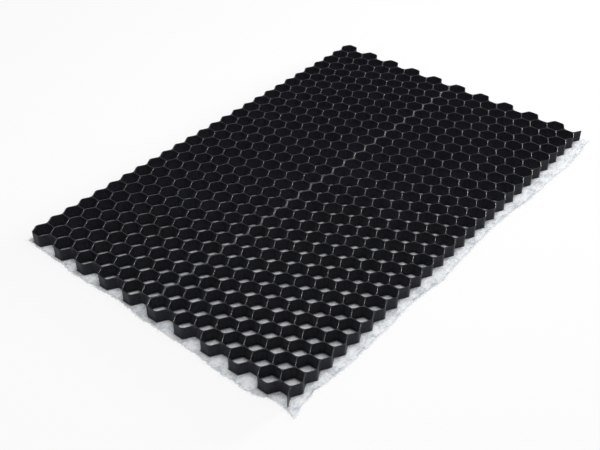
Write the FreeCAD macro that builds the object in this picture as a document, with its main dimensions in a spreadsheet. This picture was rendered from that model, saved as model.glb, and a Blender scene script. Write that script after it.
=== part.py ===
"""Honeycomb paver grid: two moulded half panels side by side, welded onto one sheet of fleece.

The panel lies flat. X runs along the rows of cells, Y across them and Z up. The origin is the
middle of the fleece, on the ground that it lies on.
"""
import FreeCAD
import Part
import math
import os
from FreeCAD import Vector

# Driving dimensions, lengths in millimetres
driving = {
    # Cells: regular hexagons with a corner towards each long side, measured between wall middles
    "cell_side": 25.0,
    "cells_long": 27,
    "row_pairs": 5,
    # Walls: the same thickness everywhere, standing upright on the fleece
    "wall": 1.6,
    "grid_height": 30.0,
    # Clearance between the walls of the two half panels where they meet
    "seam_gap": 0.3,
    # Fleece: its thickness, and how far it reaches past the grid on each side
    "fleece_thick": 1.0,
    "fleece_front": 13.0,
    "fleece_back": 13.0,
    "fleece_left": 23.0,
    "fleece_right": 23.0,
}

doc = FreeCAD.newDocument("paver_grid")
sheet = doc.addObject("Spreadsheet::Sheet", "Sizes")
for line, (name, value) in enumerate(driving.items(), start=1):
    sheet.set(f"A{line}", name)
    sheet.set(f"B{line}", str(value))
    sheet.setAlias(f"B{line}", name)
doc.recompute()

# Sizes that follow from the driving ones
CELL_PITCH = "(sqrt(3) * Sizes.cell_side)"
ROW_PITCH = "(1.5 * Sizes.cell_side)"
CORNER = "(Sizes.wall / sqrt(3))"
SEAM = "(2 * (Sizes.wall + Sizes.seam_gap) / sqrt(3))"
PANEL_STEP = f"(2 * Sizes.row_pairs * {ROW_PITCH} + {SEAM})"
PANEL_WIDTH = f"((2 * Sizes.row_pairs - 1) * {ROW_PITCH} + 2 * Sizes.cell_side + 2 * {CORNER})"
GRID_LENGTH = f"(Sizes.cells_long * {CELL_PITCH} + Sizes.wall)"
FLEECE_LENGTH = f"(Sizes.fleece_front + {GRID_LENGTH} + Sizes.fleece_back)"
FLEECE_WIDTH = f"(Sizes.fleece_right + {PANEL_WIDTH} + {PANEL_STEP} + Sizes.fleece_left)"

# The middle of a panel's first row, on the fleece
ROW_X = "(Sizes.fleece_front - Sizes.fleece_back) / 2"
FIRST_ROW_Y = f"({FLEECE_WIDTH} / 2 - Sizes.fleece_left - {CORNER} - Sizes.cell_side)"


def number(expression):
    """The value that an expression has now."""
    return float(sheet.evalExpression(expression))


def bind(piece, expressions):
    """Tie a piece's properties to the sheet."""
    for name, expression in expressions.items():
        piece.setExpression(name, expression)


def closed(points):
    """Straight lines from point to point and back to the first."""
    return [Part.LineSegment(a, b) for a, b in zip(points, points[1:] + points[:1])]


def away(x, y, turn, reach):
    """A point at a distance from (x, y), turned clockwise from +Y by so many degrees."""
    angle = math.radians(turn)
    return Vector(x + reach * math.sin(angle), y + reach * math.cos(angle), 0)


# Plan of a half panel. Rows run along X and alternate: a full row, then a row with one cell
# fewer that sits half a cell further in at both ends. The first row's middle is the origin.
def cell_openings():
    """The clear hexagon of every cell."""
    side = number("Sizes.cell_side")
    pitch = number(CELL_PITCH)
    clear = side - number(CORNER)
    for row in range(2 * int(number("Sizes.row_pairs"))):
        cells = int(number("Sizes.cells_long")) - row % 2
        y = -row * number(ROW_PITCH)
        for cell in range(cells):
            x = (cell - (cells - 1) / 2) * pitch
            yield [away(x, y, turn, clear) for turn in range(0, 360, 60)]


def end_corners(hand):
    """One end of the panel's outline, from the first row to the tip of the last wall.

    Below the last row the zigzag wall runs on by one side of a cell, so that it backs the
    whole first row of the panel beside it.
    """
    side = number("Sizes.cell_side")
    corner = number(CORNER)
    step = number(ROW_PITCH)
    full = hand * number(f"Sizes.cells_long * {CELL_PITCH} / 2")
    recessed = full - hand * number(f"{CELL_PITCH} / 2")
    y = 0
    for pair in range(int(number("Sizes.row_pairs"))):
        yield away(full, y + side / 2, hand * 60, corner)
        yield away(full, y - side / 2, hand * 120, corner)
        yield away(recessed, y - step + side / 2, hand * 120, corner)
        yield away(recessed, y - step - side / 2, hand * 60, corner)
        y -= 2 * step
    tip = y + step - side
    yield away(full, tip, hand * 30, number("Sizes.wall") / 2)
    yield away(full, tip, hand * 210, number("Sizes.wall") / 2)


def zigzag(high, low, turn):
    """The wall along a long side, from -X to +X, at the height of its even and odd corners."""
    cells = int(number("Sizes.cells_long"))
    half_pitch = number(CELL_PITCH) / 2
    for place in range(2 * cells - 1):
        x = (place - (cells - 1)) * half_pitch
        yield away(x, low if place % 2 else high, turn, number(CORNER))


def outline():
    """The outer faces of a half panel, clockwise from its first cell."""
    side = number("Sizes.cell_side")
    last = -number(f"(2 * Sizes.row_pairs - 1) * {ROW_PITCH}")
    first_side = list(zigzag(side, side / 2, 0))
    last_side = list(zigzag(last - side / 2, last - side, 180))
    return first_side + list(end_corners(1)) + last_side[::-1] + list(end_corners(-1))[::-1]


# Left panel: the plan raised to the height of the grid
left_panel = doc.addObject("PartDesign::Body", "LeftPanel")
left_panel.Label = "left_panel"
ground = next(f for f in left_panel.Origin.OriginFeatures if f.Role == "XY_Plane")
plan = left_panel.newObject("Sketcher::SketchObject", "HoneycombPlan")
plan.AttachmentSupport = [(ground, "")]
plan.MapMode = "FlatFace"
rings = [outline(), *cell_openings()]
plan.addGeometry([line for ring in rings for line in closed(ring)], False)
walls = left_panel.newObject("PartDesign::Pad", "HoneycombWalls")
walls.Profile = plan
walls.Refine = False
bind(walls, {"Length": "Sizes.grid_height"})
bind(left_panel, {
    "Placement.Base.x": ROW_X,
    "Placement.Base.y": FIRST_ROW_Y,
    "Placement.Base.z": "Sizes.fleece_thick",
})

# Right panel: the same moulding again, its first row meshing with the left panel's last wall
right_panel = doc.addObject("App::Link", "RightPanel")
right_panel.Label = "right_panel"
right_panel.LinkedObject = left_panel
bind(right_panel, {
    "Placement.Base.x": ROW_X,
    "Placement.Base.y": f"{FIRST_ROW_Y} - {PANEL_STEP}",
    "Placement.Base.z": "Sizes.fleece_thick",
})

# Fleece: one flat sheet under both panels, its edges showing all round
fleece = doc.addObject("Part::Box", "Fleece")
fleece.Label = "fleece"
bind(fleece, {
    "Length": FLEECE_LENGTH,
    "Width": FLEECE_WIDTH,
    "Height": "Sizes.fleece_thick",
    "Placement.Base.x": f"-{FLEECE_LENGTH} / 2",
    "Placement.Base.y": f"-{FLEECE_WIDTH} / 2",
})

doc.recompute()
for item in doc.Objects:
    if {"Invalid", "Error"} & set(item.State):
        raise RuntimeError(f"{item.Label} did not build: {item.State}")

# The right panel is the left one's shape again, so it is sound where that one is
for piece in (left_panel, fleece):
    if not piece.Shape.isValid():
        raise RuntimeError(f"{piece.Label} has a faulty shape")

shapes = {piece.Label: Part.getShape(piece) for piece in (left_panel, right_panel, fleece)}
for label, shape in shapes.items():
    if shape.isNull() or len(shape.Solids) != 1:
        raise RuntimeError(f"{label} is not one solid")

os.makedirs("parts", exist_ok=True)
for label, shape in shapes.items():
    shape.exportStep(f"parts/{label}.step")
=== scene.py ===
"""Honeycomb paver grid: two black half panels on a sheet of white fleece, seen from above one corner."""

import math
import random

import bpy
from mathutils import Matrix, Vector


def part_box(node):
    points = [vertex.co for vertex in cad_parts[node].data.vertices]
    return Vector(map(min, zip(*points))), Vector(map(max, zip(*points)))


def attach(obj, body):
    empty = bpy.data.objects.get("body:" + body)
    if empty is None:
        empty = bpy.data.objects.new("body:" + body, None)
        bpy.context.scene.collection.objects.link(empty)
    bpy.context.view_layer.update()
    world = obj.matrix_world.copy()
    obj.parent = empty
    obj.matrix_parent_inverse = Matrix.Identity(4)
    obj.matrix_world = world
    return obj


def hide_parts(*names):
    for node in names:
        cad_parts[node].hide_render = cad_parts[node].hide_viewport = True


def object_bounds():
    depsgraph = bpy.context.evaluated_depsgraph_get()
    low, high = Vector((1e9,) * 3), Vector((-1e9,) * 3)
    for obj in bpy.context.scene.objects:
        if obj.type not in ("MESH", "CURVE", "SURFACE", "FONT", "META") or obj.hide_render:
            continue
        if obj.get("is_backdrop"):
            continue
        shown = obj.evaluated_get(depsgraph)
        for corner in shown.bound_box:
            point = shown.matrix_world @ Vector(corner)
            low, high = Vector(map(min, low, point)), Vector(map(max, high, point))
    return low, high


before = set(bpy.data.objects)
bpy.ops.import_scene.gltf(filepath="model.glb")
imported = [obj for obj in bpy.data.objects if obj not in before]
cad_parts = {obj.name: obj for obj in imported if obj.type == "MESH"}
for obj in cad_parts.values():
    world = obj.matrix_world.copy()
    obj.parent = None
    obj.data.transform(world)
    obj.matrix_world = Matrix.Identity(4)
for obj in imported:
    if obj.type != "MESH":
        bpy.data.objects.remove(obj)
cad_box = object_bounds()


# Fleece
# A sheet of white nonwoven fleece under the whole grid, needled from loose plastic fibres. It is
# cut by hand a little larger than the grid, so its edge wanders, thins out and lifts here and
# there. The feet of the cell walls are welded to it, and it swells a little inside each cell.
MM = 0.001
CELL_SIDE = 25 * MM
ROWS_IN_PANEL = 10
CELLS_IN_ROW = 27
FLEECE_MESH = 6 * MM
FLEECE_THICK = 0.8 * MM
FLEECE_RIM = 0.1 * MM
RIM_TAPER = 5 * MM
FLEECE_SWELL = 0.5 * MM
FLEECE_LIFT = 1.5 * MM
LIFT_REACH = 20 * MM
LIFT_SLANT = 1.7

# How far the cut edge stands from the grid, at places along each side, both in millimetres
FRONT_CUT = (
    (-405, 14), (-352, 5), (-300, 20), (-230, 21), (-130, 14),
    (-15, 16), (100, 9), (205, 14), (330, 8), (380, 5))
RIGHT_CUT = (
    (-595, 26), (-550, 18), (-370, 24), (-220, 19), (-105, 28),
    (15, 21), (115, 17), (295, 29), (495, 33), (595, 23))
BACK_CUT = ((-400, 15), (-220, 10), (-60, 16), (110, 12), (260, 17), (400, 11))
LEFT_CUT = ((-600, 8), (-480, 22), (-380, 27), (-150, 20), (90, 25), (330, 19), (600, 26))

# The edge also wanders in a few slow waves, of so many radians to the metre
CUT_WANDER = 1.2 * MM
WANDER_WAVES = 4
WANDER_TURNS = (25, 90)
FRONT_SEED = 11
BACK_SEED = 12
RIGHT_SEED = 13
LEFT_SEED = 14
LIFT_SEED = 15

sheet_low, sheet_high = (Vector(corner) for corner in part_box("fleece"))
left_low, left_high = (Vector(corner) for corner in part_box("left_panel"))
right_low, right_high = (Vector(corner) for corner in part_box("right_panel"))
cell_pitch = CELL_SIDE * math.sqrt(3)
row_pitch = CELL_SIDE * 1.5
row_middle = (left_low.x + left_high.x) / 2
wall_reach = ((left_high.y - left_low.y) - (ROWS_IN_PANEL - 1) * row_pitch - 2 * CELL_SIDE) / 2


def cut(places, at):
    """The overhang at a place along a side, eased from one stated place to the next."""
    at = at / MM
    if at <= places[0][0]:
        return places[0][1] * MM
    for (here, low), (there, high) in zip(places, places[1:]):
        if at <= there:
            share = (at - here) / (there - here)
            ease = share * share * (3 - 2 * share)
            return (low + (high - low) * ease) * MM
    return places[-1][1] * MM


def wander(at, seed):
    """A slow wander between -1 and 1 along an edge, the same each time for the same seed."""
    chance = random.Random(seed)
    waves = [(chance.uniform(*WANDER_TURNS), chance.uniform(0, 2 * math.pi)) for _ in range(WANDER_WAVES)]
    return sum(math.sin(at * turns + start) for turns, start in waves) / len(waves)


def swelling(x, y):
    """How far the fleece swells at a place: nothing at a wall, most in the middle of a cell."""
    best = 1.0
    for panel_high in (left_high.y, right_high.y):
        first_row = panel_high - wall_reach - CELL_SIDE
        nearest = round((first_row - y) / row_pitch)
        for row in (nearest - 1, nearest, nearest + 1):
            if not 0 <= row < ROWS_IN_PANEL:
                continue
            start = row_middle + (row % 2) * cell_pitch / 2
            middle = start + round((x - start) / cell_pitch) * cell_pitch
            away = math.hypot(x - middle, y - first_row + row * row_pitch) / (cell_pitch / 2)
            best = min(best, away)
    return FLEECE_SWELL * (1 - best * best)


def fleece_point(along, across):
    """A place on the fleece from its shares along X and across Y: the point and its edge distance."""
    x = sheet_low.x + (sheet_high.x - sheet_low.x) * along
    y = sheet_low.y + (sheet_high.y - sheet_low.y) * across
    front = left_low.x - cut(FRONT_CUT, y) + CUT_WANDER * wander(y, FRONT_SEED)
    back = left_high.x + cut(BACK_CUT, y) + CUT_WANDER * wander(y, BACK_SEED)
    right = right_low.y - cut(RIGHT_CUT, x) + CUT_WANDER * wander(x, RIGHT_SEED)
    left = left_high.y + cut(LEFT_CUT, x) + CUT_WANDER * wander(x, LEFT_SEED)
    px = front + (back - front) * along
    py = right + (left - right) * across
    edge = min(px - front, back - px, py - right, left - py)
    past = max(left_low.x - px, px - left_high.x, right_low.y - py, py - left_high.y, 0.0)
    if past > 0:
        loose = 0.5 + 0.5 * wander(px + LIFT_SLANT * py, LIFT_SEED)
        rise = FLEECE_LIFT * loose * min(1.0, past / LIFT_REACH) ** 2
    else:
        rise = swelling(px, py)
    thinned = (FLEECE_THICK - FLEECE_RIM) * (1 - min(1.0, edge / RIM_TAPER))
    return Vector((px, py, sheet_high.z + rise - thinned)), edge


def fleece_mesh():
    """The sheet as a fine net of squares, top and underside, closed round its edge."""
    columns = round((sheet_high.x - sheet_low.x) / FLEECE_MESH)
    rows = round((sheet_high.y - sheet_low.y) / FLEECE_MESH)
    points = []
    edges = []
    for row in range(rows + 1):
        for column in range(columns + 1):
            point, edge = fleece_point(column / columns, row / rows)
            points.append(point)
            edges.append(edge)
    top = len(points)
    for point, edge in list(zip(points, edges)):
        share = min(1.0, edge / RIM_TAPER)
        points.append(point - Vector((0, 0, FLEECE_RIM + (FLEECE_THICK - FLEECE_RIM) * share)))
    edges += edges

    def at(column, row):
        return row * (columns + 1) + column

    faces = []
    for row in range(rows):
        for column in range(columns):
            square = (at(column, row), at(column + 1, row), at(column + 1, row + 1), at(column, row + 1))
            faces.append(square)
            faces.append(tuple(top + corner for corner in reversed(square)))
    rim = [at(column, 0) for column in range(columns)]
    rim += [at(columns, row) for row in range(rows)]
    rim += [at(column, rows) for column in range(columns, 0, -1)]
    rim += [at(0, row) for row in range(rows, 0, -1)]
    for here, there in zip(rim, rim[1:] + rim[:1]):
        faces.append((here, top + here, top + there, there))
    mesh = bpy.data.meshes.new("fleece_sheet")
    mesh.from_pydata(points, [], faces)
    fray = mesh.attributes.new("edge_distance", "FLOAT", "POINT")
    fray.data.foreach_set("value", edges)
    mesh.shade_smooth()
    return mesh


class Wire:
    """One output of a node. Sums and products of wires add Math nodes beside it."""

    def __init__(self, paint, socket):
        self.paint = paint
        self.socket = socket

    def __add__(self, other):
        return self.paint.math("ADD", self, other)

    def __radd__(self, other):
        return self.paint.math("ADD", other, self)

    def __sub__(self, other):
        return self.paint.math("SUBTRACT", self, other)

    def __rsub__(self, other):
        return self.paint.math("SUBTRACT", other, self)

    def __mul__(self, other):
        return self.paint.math("MULTIPLY", self, other)

    def __rmul__(self, other):
        return self.paint.math("MULTIPLY", other, self)

    def __truediv__(self, other):
        return self.paint.math("DIVIDE", self, other)

    def __rtruediv__(self, other):
        return self.paint.math("DIVIDE", other, self)


class Paint:
    """A node tree that is built up by asking for nodes and getting their outputs back."""

    def __init__(self, tree):
        self.tree = tree
        self.tree.nodes.clear()

    def node(self, kind, settings, sockets, out=0):
        """Adds a node, sets it up, fills its sockets and gives one output.

        A socket gets a value or a wire, or a list of wires where it takes several.
        """
        node = self.tree.nodes.new(kind)
        for name, value in settings.items():
            setattr(node, name, value)
        for name, value in sockets.items():
            for item in value if isinstance(value, list) else [value]:
                if isinstance(item, Wire):
                    self.tree.links.new(item.socket, node.inputs[name])
                else:
                    node.inputs[name].default_value = item
        return Wire(self, node.outputs[out]) if node.outputs else node

    def math(self, operation, first, second):
        return self.node("ShaderNodeMath", {"operation": operation}, {0: first, 1: second})

    def larger(self, first, second):
        return self.math("MAXIMUM", first, second)

    def unsigned(self, value):
        return self.math("ABSOLUTE", value, 0.0)

    def step(self, value, last):
        """The nearest whole number, from 0 to the last one."""
        whole = self.math("ROUND", value, 0.0)
        return self.larger(self.math("MINIMUM", whole, last), 0.0)

    def along(self, vector, axis):
        """How far a vector reaches along one axis."""
        return self.node("ShaderNodeSeparateXYZ", {}, {"Vector": vector}, axis)

    def mix(self, share, first, second):
        """A colour between two colours."""
        return self.node("ShaderNodeMix", {"data_type": "RGBA"}, {0: share, 6: first, 7: second}, 2)

    def grade(self, value, low, high):
        """0 below low, 1 above high, and eased between them."""
        sockets = {"Value": value, "From Min": low, "From Max": high}
        return self.node("ShaderNodeMapRange", {"interpolation_type": "SMOOTHSTEP"}, sockets)

    def place(self):
        """The point on the surface, in metres in the part's own frame."""
        return self.node("ShaderNodeTexCoord", {}, {}, "Object")

    def stretched(self, place, turn, grain):
        """A place turned about Z and measured in grains of this size, for marks that run one way."""
        scale = tuple(1 / size for size in grain)
        sockets = {"Vector": place, "Rotation": (0, 0, math.radians(turn)), "Scale": scale}
        return self.node("ShaderNodeMapping", {}, sockets)

    def noise(self, place, size, detail=2.0):
        """Soft noise from 0 to 1 whose blotches are about so many metres across."""
        return self.node("ShaderNodeTexNoise", {}, {"Vector": place, "Scale": 1 / size, "Detail": detail})

    def bump(self, height, depth, strength):
        sockets = {"Height": height, "Distance": depth, "Strength": strength}
        return self.node("ShaderNodeBump", {}, sockets)

    def surface(self, sockets):
        """A principled shader with these sockets, wired to the material's output."""
        shader = self.node("ShaderNodeBsdfPrincipled", {}, sockets)
        return self.node("ShaderNodeOutputMaterial", {}, {"Surface": shader})


def new_finish(name):
    """A new material and the paint that wires it."""
    finish = bpy.data.materials.new(name)
    finish.use_nodes = True
    return finish, Paint(finish.node_tree)


FLEECE_THIN = (0.50, 0.535, 0.58, 1)
FLEECE_THICKER = (0.92, 0.94, 0.96, 1)
# The darkest painted shade on the fleece, right at the feet of the walls
FLEECE_PAINTED_SHADE = (0.14, 0.145, 0.155, 1)
CLOUD_SIZE = 30 * MM
FLOCK_SIZE = 7 * MM
STRAND_TURNS = (8, 52, 97, 141)
STRAND_GRAIN = (14 * MM, 0.7 * MM, 1)
STRAND_BOUNDS = (0.52, 0.68)
CLOUD_SHARE = 0.6
FLOCK_SHARE = 0.28
STRAND_SHARE = 0.12
WEB_BOUNDS = (0.36, 0.58)
TORN_BY_FLOCKS = 9 * MM
TORN_BY_CLOUDS = 12 * MM
TORN_REACH = 9 * MM
# How far out from the walls the painted shade on the fleece reaches
PAINTED_SHADE_REACH = 6 * MM
OUTSIDE_STRETCH = 2.5
FELT_DEPTH = 0.4 * MM
WALL_TURN = math.radians(60)


def wall_gap(paint, place):
    """How far a place on the fleece is from the nearest wall, from the pattern of the cells.

    Rows alternate, so each panel has two sets of cells: the full rows, and the rows between them
    with one cell fewer. The nearest cell of each set is found by rounding to its own steps.
    Outside the grid the distance is counted as longer, so the painted shade by the walls fades sooner there.
    """
    x = paint.along(place, "X")
    y = paint.along(place, "Y")
    reach = None
    for panel_high in (left_high.y, right_high.y):
        for first in (0, 1):
            top = panel_high - wall_reach - CELL_SIDE - first * row_pitch
            end = row_middle - (CELLS_IN_ROW - 1 - first) / 2 * cell_pitch
            row = paint.step((top - y) / (2 * row_pitch), ROWS_IN_PANEL / 2 - 1)
            cell = paint.step((x - end) / cell_pitch, CELLS_IN_ROW - 1 - first)
            across = paint.unsigned(x - end - cell * cell_pitch)
            along = paint.unsigned(top - y - row * (2 * row_pitch))
            here = paint.larger(across, math.cos(WALL_TURN) * across + math.sin(WALL_TURN) * along)
            reach = here if reach is None else paint.math("MINIMUM", reach, here)
    inside = cell_pitch / 2 - reach
    half_wall = wall_reach * math.sin(WALL_TURN)
    return paint.larger(inside, -OUTSIDE_STRETCH * inside) - half_wall


def fleece_finish():
    """White fibres lying every way, in clouds of thicker and thinner web, frayed at the cut.

    The web is painted darker towards the feet of the walls, as painted shade where the walls stand on it.
    """
    finish, paint = new_finish("white_fleece")
    place = paint.place()
    clouds = paint.noise(place, CLOUD_SIZE, detail=3.0)
    flocks = paint.noise(place, FLOCK_SIZE)
    strands = None
    for turn in STRAND_TURNS:
        grain = paint.noise(paint.stretched(place, turn, STRAND_GRAIN), size=1.0, detail=1.0)
        strand = paint.grade(grain, *STRAND_BOUNDS)
        strands = strand if strands is None else paint.larger(strands, strand)
    web = paint.grade(CLOUD_SHARE * clouds + FLOCK_SHARE * flocks + STRAND_SHARE * strands, *WEB_BOUNDS)
    edge = paint.node("ShaderNodeAttribute", {"attribute_name": "edge_distance"}, {}, "Fac")
    tear = (flocks - 0.5) * TORN_BY_FLOCKS + (clouds - 0.5) * TORN_BY_CLOUDS
    # Painted shade: the fleece colour darkens towards the feet of the walls, where shade falls
    loose = paint.grade(wall_gap(paint, place), 0.0, PAINTED_SHADE_REACH)
    paint.surface({
        "Base Color": paint.mix(loose, FLEECE_PAINTED_SHADE, paint.mix(web, FLEECE_THIN, FLEECE_THICKER)),
        "Roughness": 0.95,
        "Specular IOR Level": 0.15,
        "Sheen Weight": 0.15,
        "Alpha": paint.grade(edge + tear, 0.0, TORN_REACH),
        "Normal": paint.bump(0.6 * strands + 0.4 * flocks, FELT_DEPTH, strength=0.5),
    })
    return finish


fleece = bpy.data.objects.new("fleece_sheet", fleece_mesh())
bpy.context.scene.collection.objects.link(fleece)
fleece.data.materials.append(fleece_finish())
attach(fleece, "root")
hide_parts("fleece")


# Loose fibres
# Single plastic fibres of the fleece, left loose all along its cut edge. Each is held a little way
# inside the edge, lies out over it close to the ground and curls to one side.
FIBRE_SPACING = 1.8 * MM
FIBRE_ROOT = (1 * MM, 9 * MM)
FIBRE_LENGTH = (5 * MM, 15 * MM)
FIBRE_WIDTH = 0.14 * MM
FIBRE_RIDGE = 1.6
FIBRE_SPREAD = math.radians(50)
FIBRE_CURL = math.radians(70)
FIBRE_RISE = (0.0, 0.14)
FIBRE_STEPS = 4
FIBRE_SEED = 31
FIBRE_WHITE = (0.90, 0.91, 0.92, 1)
FIBRE_TINT_SIZE = 4 * MM
FIBRE_TINT_BOUNDS = (0.35, 0.65)


def loose_fibre(chance, root, heading):
    """The points of one fibre, lying out from its root and curling to one side."""
    length = chance.uniform(*FIBRE_LENGTH)
    turn = heading + chance.uniform(-FIBRE_SPREAD, FIBRE_SPREAD)
    curl = chance.uniform(-FIBRE_CURL, FIBRE_CURL)
    rise = chance.uniform(*FIBRE_RISE)
    points = [root]
    for step in range(FIBRE_STEPS):
        turn += curl / FIBRE_STEPS
        stride = Vector((math.cos(turn), math.sin(turn), rise * (1 - step / FIBRE_STEPS)))
        points.append(points[-1] + stride * length / FIBRE_STEPS)
    return points


def fibre_roots(chance):
    """Where each fibre starts and the way it heads, from the right side round to the front."""
    wide = sheet_high.y - sheet_low.y
    long = sheet_high.x - sheet_low.x
    sides = ((True, False, -90), (False, True, 0), (True, True, 90), (False, False, 180))
    for along_x, high_side, way_out in sides:
        reach, depth = (long, wide) if along_x else (wide, long)
        for _ in range(round(reach / FIBRE_SPACING)):
            share = chance.random()
            inset = chance.uniform(*FIBRE_ROOT) / depth
            inset = 1 - inset if high_side else inset
            root = fleece_point(share, inset)[0] if along_x else fleece_point(inset, share)[0]
            yield root, math.radians(way_out)


def fringe_mesh():
    """All the loose fibres, each a thin three-sided thread that grows thinner towards its end."""
    chance = random.Random(FIBRE_SEED)
    points = []
    faces = []
    for root, heading in fibre_roots(chance):
        across = Vector((-math.sin(heading), math.cos(heading), 0))
        first = len(points)
        for step, point in enumerate(loose_fibre(chance, root, heading)):
            half = FIBRE_WIDTH / 2 * (1 - step / (FIBRE_STEPS + 1))
            ridge = Vector((0, 0, FIBRE_RIDGE * half))
            points += [point - across * half, point + across * half, point + ridge]
        last = first + 3 * FIBRE_STEPS
        faces += [(first + 2, first + 1, first), (last, last + 1, last + 2)]
        for low in range(first, last, 3):
            for corner in range(3):
                after = (corner + 1) % 3
                faces.append((low + corner, low + after, low + 3 + after, low + 3 + corner))
    mesh = bpy.data.meshes.new("fleece_fringe")
    mesh.from_pydata(points, [], faces)
    mesh.shade_smooth()
    return mesh


def fibre_finish():
    """Single white fibres, a little glossier than the web that they come out of."""
    finish, paint = new_finish("white_fibre")
    tint = paint.noise(paint.place(), FIBRE_TINT_SIZE)
    paint.surface({
        "Base Color": paint.mix(paint.grade(tint, *FIBRE_TINT_BOUNDS), FLEECE_THICKER, FIBRE_WHITE),
        "Roughness": 0.55 + 0.2 * tint,
        "Specular IOR Level": 0.3,
        "Sheen Weight": 0.2,
    })
    return finish


fringe = bpy.data.objects.new("fleece_fringe", fringe_mesh())
bpy.context.scene.collection.objects.link(fringe)
fringe.data.materials.append(fibre_finish())
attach(fringe, "root")


# Half panels
# Two like mouldings in black plastic, each a honeycomb of thin upright walls with rounded corners.
# They stand side by side and are welded to the fleece. The mould leaves faint upright drag marks,
# and the bare tops of the walls are rubbed paler in patches, and made paler still along the seam.
PLASTIC_DEEP = (0.012, 0.0125, 0.016, 1)
PLASTIC_SIDE = (0.0225, 0.0235, 0.031, 1)
PLASTIC_TOP = (0.015, 0.016, 0.019, 1)
PLASTIC_RUBBED = (0.028, 0.029, 0.031, 1)
# The paler colour of the wall tops near the seam between the two panels
PLASTIC_SEAM_PALER = (0.06, 0.061, 0.065, 1)
DRAG_GRAIN = (0.8 * MM, 0.8 * MM, 15 * MM)
BLOTCH_SIZE = 60 * MM
MOTTLE_SIZE = 5 * MM
GRAIN_SIZE = 0.5 * MM
RUB_SIZE = 30 * MM
DRAG_SHARE = 0.4
BLOTCH_SHARE = 0.2
MOTTLE_SHARE = 0.4
TINT_BOUNDS = (0.38, 0.62)
RUB_BOUNDS = (0.3, 0.7)
TOP_BOUNDS = (0.05, 0.35)
RELIEF_DEPTH = 0.1 * MM
# How far from the seam the paler tops reach: fully paler within the first, fading out by the second
SEAM_PALER_REACH = (7 * MM, 10 * MM)
EDGE_ROUND = 0.75 * MM
EDGE_ANGLE = math.radians(75)
CORNER_RADIUS = 9 * MM
ROUND_SEGMENTS = 3
NARROW_FACE = 150 * MM * MM
LEVEL = 0.025
WELD_REACH = 0.01 * MM


def plastic_finish():
    """Satin black plastic, with drag marks on the sides, rubbed tops, and tops made paler along the seam."""
    finish, paint = new_finish("black_plastic")
    place = paint.place()
    upward = paint.along(paint.node("ShaderNodeNewGeometry", {}, {}, "Normal"), "Z")
    drag = paint.noise(paint.stretched(place, 0, DRAG_GRAIN), size=1.0)
    blotch = paint.noise(place, BLOTCH_SIZE)
    mottle = paint.noise(place, MOTTLE_SIZE)
    grain = paint.noise(place, GRAIN_SIZE)
    rub = paint.grade(paint.noise(place, RUB_SIZE, detail=3.0), *RUB_BOUNDS)
    tint = paint.grade(DRAG_SHARE * drag + BLOTCH_SHARE * blotch + MOTTLE_SHARE * mottle, *TINT_BOUNDS)
    walls = paint.node("ShaderNodeBsdfPrincipled", {}, {
        "Base Color": paint.mix(tint, PLASTIC_DEEP, PLASTIC_SIDE),
        "Roughness": 0.30 + 0.15 * drag,
        "Specular IOR Level": 0.11,
        "Normal": paint.bump(0.5 * drag + 0.5 * grain, RELIEF_DEPTH, strength=0.1),
    })
    # The wall tops are made paler near the seam between the two panels
    seam_y = (left_low.y + right_high.y) / 2
    from_seam = paint.unsigned(paint.along(place, "Y") - seam_y)
    seam_paler = 1 - paint.grade(from_seam, *SEAM_PALER_REACH)
    rubbed = paint.mix(rub, PLASTIC_TOP, PLASTIC_RUBBED)
    tops = paint.node("ShaderNodeBsdfPrincipled", {}, {
        "Base Color": paint.mix(seam_paler, rubbed, PLASTIC_SEAM_PALER),
        "Roughness": 0.36 - 0.12 * rub,
        "Specular IOR Level": 0.39,
    })
    top = paint.grade(upward, *TOP_BOUNDS)
    both = paint.node("ShaderNodeMixShader", {}, {0: top, 1: walls, 2: tops})
    paint.node("ShaderNodeOutputMaterial", {}, {"Surface": both})
    return finish


def shape_steps(name):
    """A new group of steps that change a mesh, and the mesh that comes into it."""
    group = bpy.data.node_groups.new(name, "GeometryNodeTree")
    for way in ("INPUT", "OUTPUT"):
        group.interface.new_socket("Geometry", in_out=way, socket_type="NodeSocketGeometry")
    steps = Paint(group)
    return group, steps, steps.node("NodeGroupInput", {}, {})


def about(steps, value, middle, reach):
    """1 where a value is about a given one, and 0 elsewhere."""
    return steps.node("ShaderNodeMath", {"operation": "COMPARE"}, {0: value, 1: middle, 2: reach})


def upward_share(steps):
    """How far each face looks up: 1 for a top, 0 for an upright wall."""
    return steps.along(steps.node("GeometryNodeInputNormal", {}, {}, "Normal"), "Z")


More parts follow.
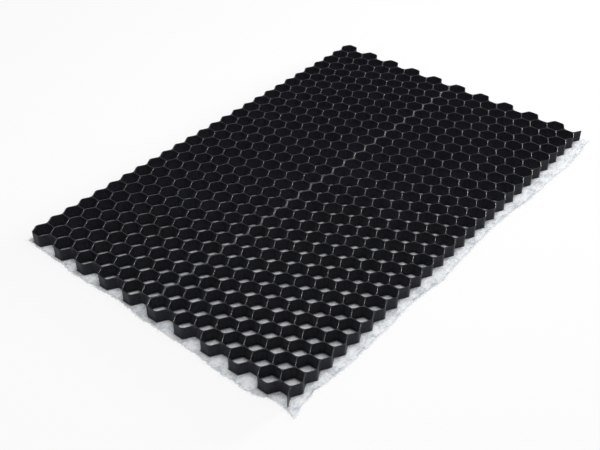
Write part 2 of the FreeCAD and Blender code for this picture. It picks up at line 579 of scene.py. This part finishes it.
def rounded_corners(plastic):
    """Rounds the upright corners: the outlines of the top are filleted, filled again and raised."""
    group, steps, shape = shape_steps("rounded_corners")
    low = steps.along(steps.node("GeometryNodeBoundBox", {}, {"Geometry": shape}, "Min"), "Z")
    high = steps.along(steps.node("GeometryNodeBoundBox", {}, {"Geometry": shape}, "Max"), "Z")
    not_top = 1 - about(steps, upward_share(steps), 1.0, LEVEL)
    top = steps.node("GeometryNodeDeleteGeometry", {"domain": "FACE"}, {
        "Geometry": shape,
        "Selection": not_top,
    })
    faces_beside = steps.node("GeometryNodeInputMeshEdgeNeighbors", {}, {}, "Face Count")
    open_edge = about(steps, faces_beside, 1.0, 0.5)
    outlines = steps.node("GeometryNodeMeshToCurve", {}, {"Mesh": top, "Selection": open_edge})
    filleted = steps.node("GeometryNodeFilletCurve", {"mode": "POLY"}, {
        "Curve": outlines,
        "Count": ROUND_SEGMENTS,
        "Radius": CORNER_RADIUS,
        "Limit Radius": True,
    })
    plan = steps.node("GeometryNodeFillCurve", {"mode": "TRIANGLES"}, {"Curve": filleted})
    lift = steps.node("ShaderNodeCombineXYZ", {}, {"Z": low})
    foot = steps.node("GeometryNodeSetPosition", {}, {"Geometry": plan, "Offset": lift})
    height = steps.node("ShaderNodeCombineXYZ", {}, {"Z": high - low})
    walls = steps.node("GeometryNodeExtrudeMesh", {"mode": "FACES"}, {
        "Mesh": foot,
        "Offset": height,
        "Offset Scale": 1.0,
        "Individual": False,
    })
    under = steps.node("GeometryNodeFlipFaces", {}, {"Mesh": foot})
    both = steps.node("GeometryNodeJoinGeometry", {}, {"Geometry": [walls, under]})
    whole = steps.node("GeometryNodeMergeByDistance", {}, {"Geometry": both, "Distance": WELD_REACH})
    dressed = steps.node("GeometryNodeSetMaterial", {}, {"Geometry": whole, "Material": plastic})
    steps.node("NodeGroupOutput", {}, {"Geometry": dressed})
    return group


def smooth_rounding():
    """Shades the narrow faces of rounded edges and corners smooth, and leaves tops and walls flat."""
    group, steps, shape = shape_steps("smooth_rounding")
    flat = steps.node("GeometryNodeSetShadeSmooth", {}, {"Geometry": shape, "Shade Smooth": False})
    upward = upward_share(steps)
    sloping = about(steps, upward, 0.5, 0.5 - LEVEL)
    upright = about(steps, upward, 0.0, LEVEL)
    area = steps.node("GeometryNodeInputMeshFaceArea", {}, {}, "Area")
    narrow = steps.math("LESS_THAN", area, NARROW_FACE)
    rounded = steps.larger(sloping, upright * narrow)
    smooth = steps.node("GeometryNodeSetShadeSmooth", {}, {"Geometry": flat, "Selection": rounded})
    steps.node("NodeGroupOutput", {}, {"Geometry": smooth})
    return group


black_plastic = plastic_finish()
corner_rounding = rounded_corners(black_plastic)
rounding_shade = smooth_rounding()
for name in ("left_panel", "right_panel"):
    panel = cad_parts[name]
    panel.data.materials.clear()
    panel.data.materials.append(black_plastic)
    joined = panel.modifiers.new("joined_facets", "WELD")
    joined.merge_threshold = WELD_REACH
    corners = panel.modifiers.new("rounded_corners", "NODES")
    corners.node_group = corner_rounding
    rounding = panel.modifiers.new("rounded_edges", "BEVEL")
    rounding.width = EDGE_ROUND
    rounding.segments = ROUND_SEGMENTS
    rounding.use_clamp_overlap = False
    rounding.limit_method = "ANGLE"
    rounding.angle_limit = EDGE_ANGLE
    shade = panel.modifiers.new("smooth_rounding", "NODES")
    shade.node_group = rounding_shade


# Studio
# A plain white floor that shows the panel's shadow and is pure white further off, under a soft sky
# that is brighter to the right. A broad lamp hangs over the panel, and another stands low beyond its
# back end, to the right, where it glances off the tops of the walls.
FLOOR_REACH = 9.0
FLOOR_WHITE = (0.93, 0.93, 0.93, 1)
FLOOR_GLOW = 0.75
FLOOR_FADE = (1.0, 3.0)
SKY_WHITE = (1, 1, 1, 1)
SKY_LEVEL = 0.45
SKY_OVERHEAD = 0.25
SKY_HEIGHTS = (0.25, 0.65)
SKY_LEAN = (0, -0.8, 0)
OVERHEAD_POWER = 33
OVERHEAD_SIZE = (1.5, 1.2)
OVERHEAD_STAND = (0, 0, 2.6)
RIGHT_POWER = 190
RIGHT_SIZE = (1.2, 1.0)
RIGHT_STAND = (4.05, -1.05, 0.6)
LAMP_AIM = (0, 0, 0)

floor_mesh = bpy.data.meshes.new("floor")
floor_corners = [(x * FLOOR_REACH, y * FLOOR_REACH, 0) for x, y in ((-1, -1), (1, -1), (1, 1), (-1, 1))]
floor_mesh.from_pydata(floor_corners, [], [(0, 1, 2, 3)])
floor = bpy.data.objects.new("floor", floor_mesh)
bpy.context.scene.collection.objects.link(floor)


def seen_directly(paint):
    """1 for rays from the camera, straight or by way of a mirror or glass, and 0 for the light on things."""
    seen = paint.node("ShaderNodeLightPath", {}, {}, "Is Camera Ray")
    for ray in ("Is Glossy Ray", "Is Transmission Ray"):
        seen = paint.larger(seen, paint.node("ShaderNodeLightPath", {}, {}, ray))
    return seen


floor_finish, floor_paint = new_finish("white_floor")
lit = floor_paint.node("ShaderNodeBsdfDiffuse", {}, {"Color": FLOOR_WHITE})
white = floor_paint.node("ShaderNodeEmission", {}, {"Color": SKY_WHITE, "Strength": 1.0})
floor_place = floor_paint.place()
reach = floor_paint.node("ShaderNodeVectorMath", {"operation": "LENGTH"}, {0: floor_place}, "Value")
far = floor_paint.grade(reach, *FLOOR_FADE)
glow = (FLOOR_GLOW + (1 - FLOOR_GLOW) * far) * seen_directly(floor_paint)
floor_mix = floor_paint.node("ShaderNodeMixShader", {}, {0: glow, 1: lit, 2: white})
floor_paint.node("ShaderNodeOutputMaterial", {}, {"Surface": floor_mix})
floor.data.materials.append(floor_finish)
floor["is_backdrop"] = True

sky = bpy.data.worlds.new("studio")
sky.use_nodes = True
bpy.context.scene.world = sky
sky_paint = Paint(sky.node_tree)
heading = sky_paint.node("ShaderNodeTexCoord", {}, {}, "Generated")
height = sky_paint.along(heading, "Z")
backdrop = 1 - (1 - SKY_OVERHEAD) * sky_paint.grade(height, *SKY_HEIGHTS)
lean_sockets = {0: heading, 1: SKY_LEAN}
lean = sky_paint.node("ShaderNodeVectorMath", {"operation": "DOT_PRODUCT"}, lean_sockets, "Value")
light = SKY_LEVEL * (1 + lean)
level = light + (backdrop - light) * seen_directly(sky_paint)
sky_glow = sky_paint.node("ShaderNodeBackground", {}, {"Color": SKY_WHITE, "Strength": level})
sky_paint.node("ShaderNodeOutputWorld", {}, {"Surface": sky_glow})


def soft_lamp(name, power, size, stand, aim):
    """A broad rectangular lamp at a place, turned towards another."""
    lamp = bpy.data.lights.new(name, "AREA")
    lamp.energy = power
    lamp.shape = "RECTANGLE"
    lamp.size, lamp.size_y = size
    holder = bpy.data.objects.new(name, lamp)
    holder.location = stand
    holder.rotation_euler = (Vector(aim) - Vector(stand)).to_track_quat("-Z", "Y").to_euler()
    holder.visible_camera = False
    bpy.context.scene.collection.objects.link(holder)


soft_lamp("overhead", OVERHEAD_POWER, OVERHEAD_SIZE, OVERHEAD_STAND, LAMP_AIM)
soft_lamp("right", RIGHT_POWER, RIGHT_SIZE, RIGHT_STAND, LAMP_AIM)


# Camera
# It looks down on the panel from beyond its front right corner, level to within a third of a
# degree, with a lens of about normal length.
CAMERA_STAND = (-1.4286, -1.1242, 1.3102)
CAMERA_AIM = (-0.1523, -0.0502, 0)
CAMERA_TILT = -0.285
CAMERA_LENS = 55.18
CAMERA_SENSOR = 36

lens = bpy.data.cameras.new("camera")
lens.lens = CAMERA_LENS
lens.sensor_width = CAMERA_SENSOR
camera = bpy.data.objects.new("camera", lens)
camera.location = CAMERA_STAND
camera.rotation_euler = (Vector(CAMERA_AIM) - Vector(CAMERA_STAND)).to_track_quat("-Z", "Y").to_euler()
camera.rotation_euler.rotate_axis("Z", math.radians(CAMERA_TILT))
bpy.context.scene.collection.objects.link(camera)
bpy.context.scene.camera = camera
bpy.context.scene.view_settings.view_transform = "Standard"

boxes = {"cad": cad_box, "visual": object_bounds()}
{name: [[float(v) for v in corner] for corner in box] for name, box in boxes.items()}
